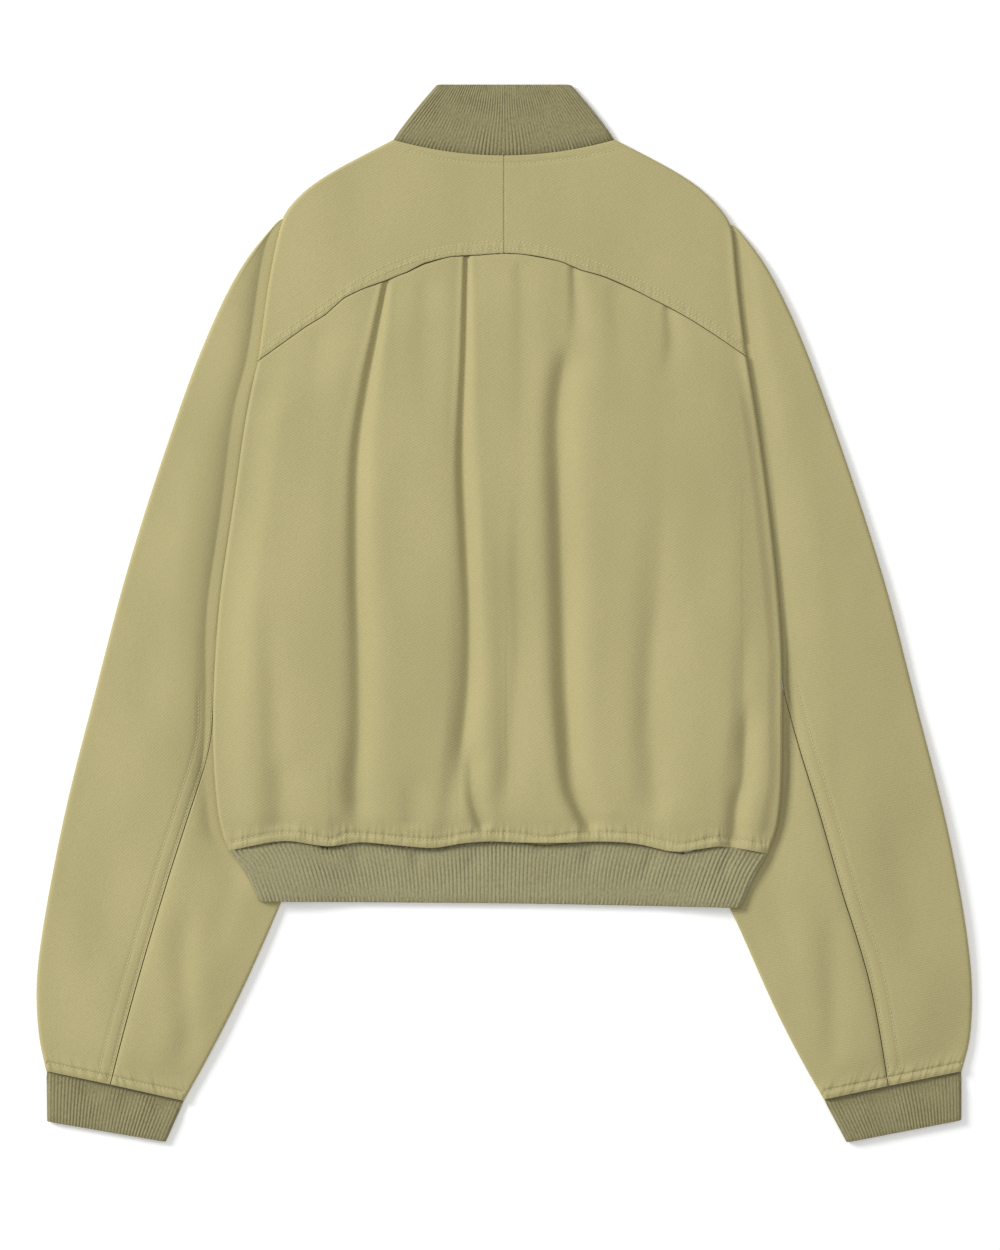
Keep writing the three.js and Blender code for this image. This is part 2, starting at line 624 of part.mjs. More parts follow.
// Hem: gathers the body in from its seam to its lower edge
{
  const left = curve(SIDES.left.hemSide);
  const right = curve(SIDES.right.hemSide);
  const line = (level) => {
    const [l, r] = [left.getPointAt(level), right.getPointAt(level)];
    const seamX = (t) => mix(HEM_SEAM[0].x, HEM_SEAM.at(-1).x, t);
    const lowerY = (x, t) =>
      mix(seamHeight(HEM_SEAM, seamX(t)) - SEAM_INSET, seamHeight(HEM_END, x), level);
    const at = (t) => {
      const x = mix(l.x, r.x, t);
      return point(x, lowerY(x, t));
    };
    const front = (end, s, t) => {
      const x = mix(end.x, s * KNIT_SLOT_HALF, t);
      const inner = mix(FRONT_HEM - SEAM_INSET, seamHeight(HEM_END, 0), level);
      return point(x, mix(end.y, inner, t));
    };
    return { back: { length: r.x - l.x, at }, front };
  };
  knitStrip('hem_rib', HEM_RIBS, [0, 0.35, 1], line, { flip: true, height: lift });
}

// Collar: stands off the neck seam, its front halves dipping to the zip
{
  const line = (level) => {
    const half = mix(NECK_HALF, COLLAR_TOP_HALF, level ** 1.15);
    const at = (t) => {
      const x = mix(-half, half, t);
      return point(x, mix(neckHeight(mix(-NECK_HALF, NECK_HALF, t)) + SEAM_INSET, COLLAR_TOP, level));
    };
    const front = (end, s, t) => {
      const x = mix(Math.abs(end.x), KNIT_SLOT_HALF, t);
      const seamX = mix(NECK_HALF, KNIT_SLOT_HALF, t);
      const dip = frontNeckHeight(seamX) + SEAM_INSET;
      const top = mix(COLLAR_TOP, FRONT_NECK_LOW + COLLAR_HEIGHT, smooth(t * 1.3));
      return point(s * x, mix(dip, top, level));
    };
    return { back: { length: 2 * half, at }, front };
  };
  knitStrip('collar_rib', COLLAR_RIBS, [0, 0.5, 1], line, { flip: false, height: () => 0 });
}

// Cuffs: closed tubes of rib knit
for (const [name, side] of Object.entries(SIDES)) {
  const [seamOut, seamIn] = side.cuffSeam.map((row) => point(row.x, row.y - SEAM_GAP));
  const [endOut, endIn] = side.cuffEnd.map((row) => point(row.x, row.y));
  const line = (level) => {
    const [a, b] = [seamOut.clone().lerp(endOut, level), seamIn.clone().lerp(endIn, level)];
    return { back: side.sign < 0 ? straightLine(a, b) : straightLine(b, a) };
  };
  knitStrip(`cuff_${name}`, CUFF_RIBS, [0, 0.5, 1], line, { flip: true, closed: true, height: () => 0 });
}

// Zip: two woven tapes behind the front edges, the closed chain between them, a slider at its top
// and a pull tab hinged on the slider's nose
function solid(shape) {
  const bare = shape.clone();
  bare.deleteAttribute('normal');
  bare.deleteAttribute('uv');
  const merged = mergeVertices(bare, 1e-4);
  return new wasm.Manifold(new wasm.Mesh({
    numProp: 3,
    vertProperties: new Float32Array(merged.attributes.position.array),
    triVerts: new Uint32Array(merged.index.array),
  }));
}

function addPart(name, body, material) {
  const { vertProperties, triVerts } = body.getMesh();
  const geometry = new THREE.BufferGeometry();
  geometry.setAttribute('position', new THREE.BufferAttribute(new Float32Array(vertProperties), 3));
  geometry.setIndex([...triVerts]);
  geometry.computeVertexNormals();
  const mesh = new THREE.Mesh(geometry, material);
  mesh.name = name;
  jacket.add(mesh);
}

// A block between two corners
function block(x0, x1, y0, y1, z0, z1) {
  const box = new THREE.BoxGeometry(x1 - x0, y1 - y0, z1 - z0);
  return solid(box.translate((x0 + x1) / 2, (y0 + y1) / 2, (z0 + z1) / 2));
}

// A round bar along X
function bar(radius, halfLength, y, z, sides = 16) {
  const rod = new THREE.CylinderGeometry(radius, radius, 2 * halfLength, sides);
  return solid(rod.rotateZ(Math.PI / 2).translate(0, y, z));
}

const ZIP_FOOT = seamHeight(HEM_END, 0) + 2;
const SLIDER_Y = FRONT_NECK_LOW + COLLAR_HEIGHT - 22;
const SLIDER_HALF = 4.4;
const SLIDER_LENGTH = 9;
const PLATE = 0.6;
const SLIDER_LOW = 0.5;
const SLIDER_HIGH = 4.1;
const CHAIN_Z = 1.35;
const PIN_RADIUS = 0.5;
const EYE_RADIUS = 1.15;
const EYE_HOLE = 0.75;
const PIN_Y = SLIDER_Y + SLIDER_LENGTH + 1.6;
const PIN_Z = 1.3;
const TAB_HALF = 1.9;
const TAB_WIDE_HALF = 3.2;
const TAB_NECK = 2.2;
const TAB_SHOULDER = 5;
const TAB_LENGTH = 19;
const TAB_THICK = 1.1;
const LUG_THICK = 0.9;

for (const [name, side] of Object.entries(SIDES)) {
  const [a, b] = [CHAIN_HALF + SEAM_GAP, CHAIN_HALF + SEAM_GAP + TAPE_WIDTH].map((x) => x * side.sign);
  addPart(`zip_tape_${name}`, block(Math.min(a, b), Math.max(a, b), ZIP_FOOT, SLIDER_Y + 5, TAPE_Z,
    TAPE_Z + TAPE_THICK), tapeCloth);
}
addPart('zip_chain', block(-CHAIN_HALF, CHAIN_HALF, ZIP_FOOT, SLIDER_Y + 5, CHAIN_Z,
  CHAIN_Z + CHAIN_THICK), metal);

const sliderTop = SLIDER_Y + SLIDER_LENGTH;
const lugStart = TAB_HALF + SEAM_GAP;
const lug = (s) => {
  const [a, b] = [s * lugStart, s * (lugStart + LUG_THICK)];
  return block(Math.min(a, b), Math.max(a, b), sliderTop - 0.5, PIN_Y + 1, SLIDER_LOW, PIN_Z + 1.1);
};
const sliderBody = wasm.Manifold.union([
  block(-SLIDER_HALF, SLIDER_HALF, SLIDER_Y, sliderTop, SLIDER_LOW, SLIDER_LOW + PLATE),
  block(-SLIDER_HALF, SLIDER_HALF, SLIDER_Y, sliderTop, SLIDER_HIGH - PLATE, SLIDER_HIGH),
  block(-SLIDER_HALF, SLIDER_HALF, SLIDER_Y + 5.4, sliderTop, SLIDER_LOW, SLIDER_HIGH),
  lug(-1),
  lug(1),
  bar(PIN_RADIUS, lugStart + LUG_THICK / 2, PIN_Y, PIN_Z),
]);
addPart('zip_slider', sliderBody, metal);

const tabPlan = new THREE.Shape();
tabPlan.moveTo(-TAB_HALF, 0);
tabPlan.lineTo(-TAB_HALF, TAB_NECK);
tabPlan.lineTo(-TAB_WIDE_HALF, TAB_SHOULDER);
tabPlan.lineTo(-TAB_WIDE_HALF, TAB_LENGTH - TAB_WIDE_HALF);
tabPlan.absarc(0, TAB_LENGTH - TAB_WIDE_HALF, TAB_WIDE_HALF, Math.PI, 0, true);
tabPlan.lineTo(TAB_WIDE_HALF, TAB_SHOULDER);
tabPlan.lineTo(TAB_HALF, TAB_NECK);
tabPlan.lineTo(TAB_HALF, 0);
const tabPlate = new THREE.ExtrudeGeometry(tabPlan, {
  depth: TAB_THICK,
  bevelEnabled: false,
  curveSegments: 8,
});
const tabBody = solid(tabPlate.translate(0, PIN_Y, PIN_Z - TAB_THICK / 2))
  .add(bar(EYE_RADIUS, TAB_HALF, PIN_Y, PIN_Z))
  .subtract(bar(EYE_HOLE, TAB_HALF + 1, PIN_Y, PIN_Z));
addPart('zip_pull', tabBody, metal);

export default jacket;
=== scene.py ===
import math

import bmesh
import bpy
import numpy as np
from mathutils import Matrix, Vector
from mathutils.bvhtree import BVHTree


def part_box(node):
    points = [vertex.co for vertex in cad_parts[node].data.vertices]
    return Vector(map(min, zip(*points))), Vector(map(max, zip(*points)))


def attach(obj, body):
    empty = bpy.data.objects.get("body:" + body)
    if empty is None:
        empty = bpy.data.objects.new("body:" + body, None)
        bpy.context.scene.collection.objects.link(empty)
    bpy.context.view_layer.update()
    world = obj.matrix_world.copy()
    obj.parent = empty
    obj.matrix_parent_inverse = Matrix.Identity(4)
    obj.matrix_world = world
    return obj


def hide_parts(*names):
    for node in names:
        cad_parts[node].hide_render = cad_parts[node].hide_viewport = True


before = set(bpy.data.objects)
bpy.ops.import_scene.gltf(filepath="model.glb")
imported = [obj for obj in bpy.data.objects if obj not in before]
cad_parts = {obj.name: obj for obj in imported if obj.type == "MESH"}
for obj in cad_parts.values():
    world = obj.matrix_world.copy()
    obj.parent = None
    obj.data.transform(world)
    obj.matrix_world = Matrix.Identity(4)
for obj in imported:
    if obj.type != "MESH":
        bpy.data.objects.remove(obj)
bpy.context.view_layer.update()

scene = bpy.context.scene

# Camera: straight above the laid jacket, far off with a long lens, so that the picture is nearly
# flat. Its frame is a metre high, 0.8 mm for each of the photo's pixels.
FRAME_HEIGHT = 1.0
CAMERA_DISTANCE = 5.0
camera_data = bpy.data.cameras.new("camera")
camera_data.sensor_width = 36
camera_data.lens = 36 * CAMERA_DISTANCE / FRAME_HEIGHT
camera = bpy.data.objects.new("camera", camera_data)
camera.location = (-0.0032, -0.0088, CAMERA_DISTANCE + 0.006)
scene.collection.objects.link(camera)
scene.camera = camera

# Studio: a white paper sweep under the jacket, a broad soft box to the upper left and an even fill
# from above, which give the soft shade on the right of each fold.
SWEEP_HALF = 6
SWEEP_DROP = 0.0004
floor_mesh = bpy.data.meshes.new("paper_sweep")
bm = bmesh.new()
bmesh.ops.create_grid(bm, x_segments=1, y_segments=1, size=SWEEP_HALF,
                      matrix=Matrix.Translation((0, 0, -SWEEP_DROP)))
bm.to_mesh(floor_mesh)
bm.free()
floor = bpy.data.objects.new("paper_sweep", floor_mesh)
scene.collection.objects.link(floor)


def linear(code):
    parts = [int(code[i:i + 2], 16) / 255 for i in (1, 3, 5)]
    return tuple(c / 12.92 if c <= 0.04045 else ((c + 0.055) / 1.055) ** 2.4 for c in parts) + (1,)


paper = bpy.data.materials.new("white_paper_sweep")
paper.use_nodes = True
paper_shader = paper.node_tree.nodes["Principled BSDF"]
paper_shader.inputs["Base Color"].default_value = linear("#FCFCFC")
paper_shader.inputs["Roughness"].default_value = 0.9
paper_shader.inputs["Emission Color"].default_value = (1, 1, 1, 1)
paper_shader.inputs["Emission Strength"].default_value = 0.12
# From below the sweep isn't seen, so that the jacket's underside can be looked at.
paper_nodes = paper.node_tree.nodes
underneath = paper_nodes.new("ShaderNodeNewGeometry").outputs["Backfacing"]
clear = paper_nodes.new("ShaderNodeBsdfTransparent")
one_sided = paper_nodes.new("ShaderNodeMixShader")
for socket, source in ((0, underneath), (1, paper_shader.outputs[0]), (2, clear.outputs[0])):
    paper.node_tree.links.new(source, one_sided.inputs[socket])
paper.node_tree.links.new(one_sided.outputs[0], paper_nodes["Material Output"].inputs["Surface"])
floor_mesh.materials.append(paper)

for name, place, size, power in (
    ("soft_box", (-4.7, 2.5, 3.4), 2.2, 325),
    ("overhead", (0.2, -0.1, 3.4), 3.0, 34),
):
    light_data = bpy.data.lights.new(name, "AREA")
    light_data.size = size
    light_data.energy = power
    light = bpy.data.objects.new(name, light_data)
    light.location = place
    light.rotation_euler = Vector(place).to_track_quat("Z", "Y").to_euler()
    scene.collection.objects.link(light)
world = bpy.data.worlds.new("studio")
world.use_nodes = True
world.node_tree.nodes["Background"].inputs["Color"].default_value = (1, 1, 1, 1)
world.node_tree.nodes["Background"].inputs["Strength"].default_value = 0.36
scene.world = world
scene.view_settings.view_transform = "Standard"

# Back panel: one width of brushed cotton twill, set under the yoke with loose folds that hang to
# the hem. It is cut wider than the rib hem that gathers it, and one row of stitches holds it there.
MM = 0.001
CUT_EDGE_ANGLE = math.radians(60)
CUT_EDGE_CREASE = 0.55
# Cloth below the first height is the layer that rests, and above the second it is the upper one.
TOP_LAYER_LOW = 1.6
TOP_LAYER_HIGH = 2.6
# How low the upper layer's outer and inner face may sink.
UPPER_REST = (3.4, 1.9)
DEEPEST = -3.2
BANK_PLACE = 2.1
BANK_WIDTH = 1.3


def add_node(tree, kind, links=(), values=(), **settings):
    node = tree.nodes.new(kind)
    for key, value in settings.items():
        setattr(node, key, value)
    for socket, value in dict(values).items():
        node.inputs[socket].default_value = value
    for socket, source in dict(links).items():
        tree.links.new(source, node.inputs[socket])
    return node


def brushed_twill(name, grain):
    """Cotton twill, piece-dyed and brushed: matt, with a short pale nap that clouds the colour."""
    material = bpy.data.materials.new(name)
    material.use_nodes = True
    tree = material.node_tree
    shader = tree.nodes["Principled BSDF"]
    place = add_node(tree, "ShaderNodeTexCoord").outputs["Object"]
    turned = add_node(tree, "ShaderNodeMapping", {"Vector": place},
                      {"Rotation": (0, 0, grain)}).outputs["Vector"]
    # Washed cloth varies over a hand's width, in long clouds along the grain.
    cloud_place = add_node(tree, "ShaderNodeMapping", {"Vector": turned},
                           {"Scale": (14, 6, 14)}).outputs["Vector"]
    clouds = add_node(tree, "ShaderNodeTexNoise", {"Vector": cloud_place},
                      {"Scale": 1, "Detail": 3, "Roughness": 0.55}).outputs["Fac"]
    ground = add_node(tree, "ShaderNodeValToRGB", {"Fac": clouds})
    ground.color_ramp.elements[0].position = 0.3
    ground.color_ramp.elements[0].color = linear("#ABA274")
    ground.color_ramp.elements[1].position = 0.7
    ground.color_ramp.elements[1].color = linear("#B3A97A")
    # The nap lies in specks of 1 to 2 mm. Real twill lines are 0.5 mm apart and are drawn at 2 mm.
    specks = add_node(tree, "ShaderNodeTexNoise", {"Vector": turned},
                      {"Scale": 620, "Detail": 2, "Roughness": 0.6}).outputs["Fac"]
    lines = add_node(tree, "ShaderNodeMapping", {"Vector": turned},
                     {"Rotation": (0, 0, math.radians(63))}).outputs["Vector"]
    twill = add_node(tree, "ShaderNodeTexWave", {"Vector": lines},
                     {"Scale": 160, "Distortion": 1.5, "Detail": 2,
                      "Detail Scale": 3}).outputs["Fac"]
    weave = add_node(tree, "ShaderNodeMath", {0: specks, 1: twill, 2: specks},
                     operation="MULTIPLY_ADD").outputs[0]
    fleck = add_node(tree, "ShaderNodeMapRange", {"Value": weave},
                     {"From Min": 0.3, "From Max": 1.0, "To Min": 0.93,
                      "To Max": 1.06}).outputs["Result"]
    colour = add_node(tree, "ShaderNodeVectorMath", {0: ground.outputs["Color"], 1: fleck},
                      operation="MULTIPLY").outputs["Vector"]
    tree.links.new(colour, shader.inputs["Base Color"])
    bump = add_node(tree, "ShaderNodeBump", {"Height": weave},
                    {"Strength": 0.35, "Distance": 0.0004}).outputs["Normal"]
    # Gathers 4 to 6 mm apart run across the seams, where the piece is marked as puckered.
    mark = add_node(tree, "ShaderNodeAttribute", attribute_name="pucker").outputs["Fac"]
    narrow = add_node(tree, "ShaderNodeMapping", {"Vector": turned},
                      {"Scale": (230, 40, 40)}).outputs["Vector"]
    ripple = add_node(tree, "ShaderNodeTexNoise", {"Vector": narrow},
                      {"Scale": 1, "Detail": 1}).outputs["Fac"]
    gather = add_node(tree, "ShaderNodeMath", {0: ripple, 1: mark}, operation="MULTIPLY").outputs[0]
    bump = add_node(tree, "ShaderNodeBump", {"Height": gather, "Normal": bump},
                    {"Strength": 1.0, "Distance": 0.0022}).outputs["Normal"]
    tree.links.new(bump, shader.inputs["Normal"])
    shader.inputs["Roughness"].default_value = 0.92
    shader.inputs["Specular IOR Level"].default_value = 0.25
    shader.inputs["Sheen Weight"].default_value = 0.25
    shader.inputs["Sheen Roughness"].default_value = 0.5
    shader.inputs["Sheen Tint"].default_value = linear("#D8CF9C")
    return material


def tailor(node, level, material, cuts=()):
    """A packed wall as worn cloth: its triangles merged and joined, then rounded but for the cut.
    Each of the cuts adds a line of points, where the cloth is formed more finely."""
    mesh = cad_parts[node].data.copy()
    bm = bmesh.new()
    bm.from_mesh(mesh)
    bmesh.ops.remove_doubles(bm, verts=bm.verts, dist=1e-6)
    bmesh.ops.join_triangles(bm, faces=bm.faces, angle_face_threshold=math.radians(40),
                             angle_shape_threshold=math.radians(60))
    for place, across in cuts:
        bmesh.ops.bisect_plane(bm, geom=bm.verts[:] + bm.edges[:] + bm.faces[:], dist=1e-5,
                               plane_co=Vector((*place, 0)) * MM, plane_no=Vector((*across, 0)))
    cut = bm.edges.layers.float.new("crease_edge")
    for edge in bm.edges:
        if edge.calc_face_angle(0) > CUT_EDGE_ANGLE:
            edge[cut] = CUT_EDGE_CREASE
    bm.to_mesh(mesh)
    bm.free()
    piece = bpy.data.objects.new(node + "_cloth", mesh)
    scene.collection.objects.link(piece)
    rounded = piece.modifiers.new("rounded", "SUBSURF")
    rounded.levels = rounded.render_levels = level
    bpy.context.view_layer.update()
    graph = bpy.context.evaluated_depsgraph_get()
    fine = bpy.data.meshes.new_from_object(piece.evaluated_get(graph))
    piece.modifiers.clear()
    piece.data = fine
    fine.materials.clear()
    fine.materials.append(material)
    fine.shade_smooth()
    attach(piece, "jacket")
    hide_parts(node)
    return piece


def soft_step(t):
    t = np.clip(t, 0, 1)
    return t * t * (3 - 2 * t)


def smooth_line(rows, steps=8):
    """A smooth line through a short table of places in millimetres."""
    rows = np.array(rows, float)
    rows = np.vstack([2 * rows[0] - rows[1], rows, 2 * rows[-1] - rows[-2]])
    t = np.linspace(0, 1, steps, endpoint=False)[:, None]
    parts = []
    for a, b, c, d in zip(rows, rows[1:], rows[2:], rows[3:]):
        parts.append(0.5 * (2 * b + (c - a) * t + (2 * a - 5 * b + 4 * c - d) * t ** 2
                            + (3 * b - a - 3 * c + d) * t ** 3))
    return np.vstack(parts + [rows[-2]])


def along_line(places, line):
    """How far each place is from a line, above 0 on its left, how far along it the nearest point
    is, from 0 to 1, and the way there."""
    off = np.full(len(places), 1e9)
    share = np.zeros(len(places))
    gaps = np.zeros((len(places), 2))
    for k, (a, b) in enumerate(zip(line, line[1:])):
        way = b - a
        t = np.clip((places - a) @ way / (way @ way), 0, 1)
        gap = places - a - t[:, None] * way
        far = np.hypot(gap[:, 0], gap[:, 1])
        near = far < np.abs(off)
        left = way[0] * gap[near, 1] > way[1] * gap[near, 0]
        off[near] = np.where(left, far[near], -far[near])
        share[near] = (k + t[near]) / (len(line) - 1)
        gaps[near] = gap[near]
    return off, share, gaps


def fold(places, rows, rise, width, start=0.2, end=0.2, banks=0.0, shift=0.0, lean=1.0):
    """A soft trough, or a ridge with a rise above 0, along a table of places. Its width goes from
    one value to another and its ends fade. Banks raises the cloth on both sides of it, shift moves
    it to the left by so many of its widths, and lean is how much wider its left side is."""
    line = smooth_line(rows)
    margin = 4.5 * max(width)
    near = np.all((places > line.min(0) - margin) & (places < line.max(0) + margin), axis=1)
    off, share, _ = along_line(places[near], line)
    fade = soft_step(share / start) * soft_step((1 - share) / end)
    spread = off / (width[0] + (width[1] - width[0]) * share) - shift
    spread = np.where(spread > 0, spread / lean, spread)
    shape = np.exp(-spread ** 2)
    for place in (-BANK_PLACE, BANK_PLACE):
        shape -= banks * np.exp(-((spread - place) / BANK_WIDTH) ** 2)
    rises = np.zeros(len(places))
    rises[near] = rise * fade * shape
    return rises


def billow(places, lines, rise):
    """The cloth's fullness between the seams that hold it, each with the run that it rises over."""
    rises = np.full(len(places), float(rise))
    for rows, run in lines:
        off = along_line(places, smooth_line(rows))[0]
        rises *= soft_step(np.abs(off) / run)
    return rises


def read_places(piece):
    flat = np.empty(len(piece.data.vertices) * 3)
    piece.data.vertices.foreach_get("co", flat)
    return flat.reshape(-1, 3) / MM


def lift_cloth(piece, upper_rises, lower_rises=0.0):
    """Raises the upper and the lower layer of a laid piece by so many millimetres at a vertex."""
    places = read_places(piece)
    upper = soft_step((places[:, 2] - TOP_LAYER_LOW) / (TOP_LAYER_HIGH - TOP_LAYER_LOW))
    raised = places[:, 2] + upper * upper_rises
    faces_up = np.empty(len(places) * 3)
    piece.data.vertices.foreach_get("normal", faces_up)
    rest = np.where(faces_up[2::3] > 0, *UPPER_REST)
    raised = np.maximum(raised, np.minimum(places[:, 2], rest))
    places[:, 2] = raised + (1 - upper) * lower_rises
    piece.data.vertices.foreach_set("co", (places * MM).ravel())
    piece.data.update()


def pucker_along(piece, rows, reach, strength=1.0):
    """Marks the cloth near a seam, where the material draws the gathers that stitches pull."""
    off = along_line(read_places(piece)[:, :2], smooth_line(rows))[0]
    mark = piece.data.attributes.new("pucker", "FLOAT", "POINT")
    mark.data.foreach_set("value", strength * np.exp(-(off / reach) ** 2))


def tuck_under(piece, rows, reach=1.3, lap=1.0, sink=0.5):
    """Laps the edge of a piece under its neighbour, so that the seam between them is closed."""
    places = read_places(piece)
    off, _, gaps = along_line(places[:, :2], smooth_line(rows))
    far = np.maximum(np.abs(off), 1e-6)
    pull = np.exp(-(far / reach) ** 2)
    places[:, :2] -= gaps / far[:, None] * (pull * (far + lap))[:, None]
    upper = soft_step((places[:, 2] - TOP_LAYER_LOW) / (TOP_LAYER_HIGH - TOP_LAYER_LOW))
    places[:, 2] -= sink * pull * upper
    piece.data.vertices.foreach_set("co", (places * MM).ravel())
    piece.data.update()


def uneven(places, size):
    """The slight unevenness of washed cloth smoothed by hand: long, shallow and irregular."""
    x, y = places[:, 0], places[:, 1]
    waves = ((23, 71, 0.3), (-37, 52, 1.9), (61, -43, 4.1), (15, 33, 2.2), (-19, 27, 5.3))
    return size * sum(np.sin(x / a + y / b + c) for a, b, c in waves) / len(waves)


def follow_seam(piece):
    """Moves the cloth at the yoke seam to the seam's own small waves, where folds tug at it."""
    places = read_places(piece)
    off = along_line(places[:, :2], smooth_line(YOKE_ROW))[0]
    waves = np.array(YOKE_WAVES, float)
    places[:, 1] += np.exp(-(off / 22) ** 2) * np.interp(places[:, 0], waves[:, 0], waves[:, 1])
    piece.data.vertices.foreach_set("co", (places * MM).ravel())
    piece.data.update()


YOKE_WAVES = [(-197, 0), (-158, 0), (-143, -1.4), (-128, 2.0), (-112, 0), (-95, -2.4), (-77, -2.2),
              (-64, 0.6), (-42, 1.5), (-20, 0), (46, 1.0), (62, -0.8), (80, 0.6), (100, 0),
              (118, -0.8), (150, 0.6), (195, 0)]
YOKE_ROW = [(-197.5, 202), (-158, 230), (-113, 260), (-67, 279), (-20, 287), (17, 287), (61, 276),
            (116, 254), (170, 222), (195, 205)]
HEM_ROW = [(-220, -190), (-174, -182), (-139, -187.5), (-120, -183), (-59, -188), (-25, -183),
           (10, -183.5), (34, -186.4), (62, -183), (103, -184), (141, -191.6), (172, -186.5),
           (211, -192.4)]
HEM_STITCH_ROW = [(x, y + 7.5) for x, y in HEM_ROW]
LEFT_SIDE_ROW = [(-197.5, 202), (-206, 165), (-215, 99), (-228, 10), (-232.4, -61), (-232.8, -106),
                 (-230.4, -145), (-220, -190)]
RIGHT_SIDE_ROW = [(192.4, 217.6), (201, 165), (209, 112), (221.6, -10), (222.4, -57), (222.6, -93),
                  (222.2, -135), (211, -192.4)]
BODY_TWILL = brushed_twill("brushed_cotton_twill", 0)
back = tailor("back_panel", 3, BODY_TWILL)
at = read_places(back)[:, :2]
# Each fold's places from the yoke to the hem, its depth, its width at both ends and its fades.
BACK_FOLDS = (
    ([(-95, 271), (-104, 223), (-112, 182), (-120, 124), (-121, 40), (-119, -30), (-119, -95),
      (-123, -135), (-120, -173)], -3.9, (1.4, 9), 0.015, 0.08),
    ([(-31, 292), (-33, 208), (-36, 124), (-33, 60), (-30, 0), (-31, -57), (-37, -114),
      (-42, -160)], -3.5, (1.4, 7), 0.015, 0.2),
    ([(-28, -97), (-28, -142), (-19, -176)], -3.4, (6, 4), 0.3, 0.1),
    ([(54, 282), (55, 242), (53, 206)], -1.8, (2.4, 7), 0.03, 0.5),
    ([(54, 226), (43, 190), (39, 141), (42, 61), (44, -10), (45, -70), (48, -130), (58, -158),
      (72, -180)], -4.6, (8, 5), 0.12, 0.06),
    ([(129, 249), (131, 218), (126, 180)], -1.6, (2.6, 8), 0.03, 0.5),
    ([(127, 150), (121, 60), (116, -30), (113, -101), (120, -168)], -2.6, (14, 10), 0.4, 0.1),
    ([(158, 130), (152, 40), (160, -30)], -1.3, (16, 14), 0.4, 0.4),
    ([(194, -59), (191, -94), (189, -131), (184, -150), (181, -174), (178, -188)], -4.2, (6, 5),
     0.25, 0.05),
    ([(-180, -106), (-183, -174)], -2.0, (9, 9), 0.4, 0.1),
    ([(-78, -120), (-78, -172)], -1.6, (9, 7), 0.5, 0.1),
    ([(8, 130), (7, 40), (8, -30), (2, -110), (-4, -160)], -2.2, (7, 9), 0.3, 0.2),
    ([(-66, 272), (-68, 210), (-70, 120)], -0.9, (5, 12), 0.1, 0.6),
    ([(10, 284), (11, 230), (9, 60)], -1.0, (5, 9), 0.1, 0.5),
    ([(84, 266), (86, 220), (84, 100)], -1.0, (5, 13), 0.1, 0.6),
    ([(-150, 232), (-156, 180), (-162, 60)], -0.8, (6, 16), 0.1, 0.6),
)
rises = uneven(at, 0.9) + billow(
    at, ((YOKE_ROW, 50), (HEM_ROW, 26), (LEFT_SIDE_ROW, 30), (RIGHT_SIDE_ROW, 13)), 3.4)
for rows, rise, width, start, end in BACK_FOLDS:
    rises += fold(at, rows, rise, width, start, end, banks=0.15, shift=0.6, lean=1.7)
# The side seams stay up beside the sleeves, which are pressed down under them.
rises += fold(at, LEFT_SIDE_ROW, 2.2, (12, 14), 0.08, 0.1)
rises += fold(at, RIGHT_SIDE_ROW, 1.8, (5, 6), 0.02, 0.1)
# The hem's allowance is sewn down in a band, a little proud of the cloth above its stitches.
rises += fold(at, HEM_STITCH_ROW, -1.1, (1.3, 1.3), 0.01, 0.01)
rises += fold(at, [(x, y + 3.4) for x, y in HEM_ROW], 1.0, (3.2, 3.2), 0.01, 0.01)
lift_cloth(back, np.maximum(rises, DEEPEST))
follow_seam(back)
pucker_along(back, HEM_STITCH_ROW, 7)

# Yokes: the two halves of the shoulder yoke, joined down the middle of the back with the seam
# pressed to one side, and topstitched above the back panel and below the collar.
RIGHT_SIDE_TOP = [(183.2, 310.5), (186, 274), (192.4, 217.6)]
NECK_STITCH_ROW = [(-77.6, 370.4), (-43.2, 363.2), (1.6, 360), (60.8, 365.6), (96.8, 373.6)]
YOKE_STITCH_ROWS = [[(x * (1 - up / 900), y + up) for x, y in YOKE_ROW] for up in (4.5, 10)]
for side in ("left", "right"):
    yoke = tailor("back_yoke_" + side, 3, BODY_TWILL)
    at = read_places(yoke)[:, :2]
    rises = uneven(at, 0.7) + fold(at, NECK_STITCH_ROW, -0.6, (1.2, 1.2), 0.01, 0.01)
    for rows in YOKE_STITCH_ROWS:
        rises += fold(at, rows, -0.2, (1.2, 1.2), 0.01, 0.01)
    rises += fold(at, RIGHT_SIDE_TOP, 1.2, (4, 5), 0.05, 0.02)
    lift_cloth(yoke, rises)
    follow_seam(yoke)
    pucker_along(yoke, YOKE_STITCH_ROWS[0], 5, 0.5)

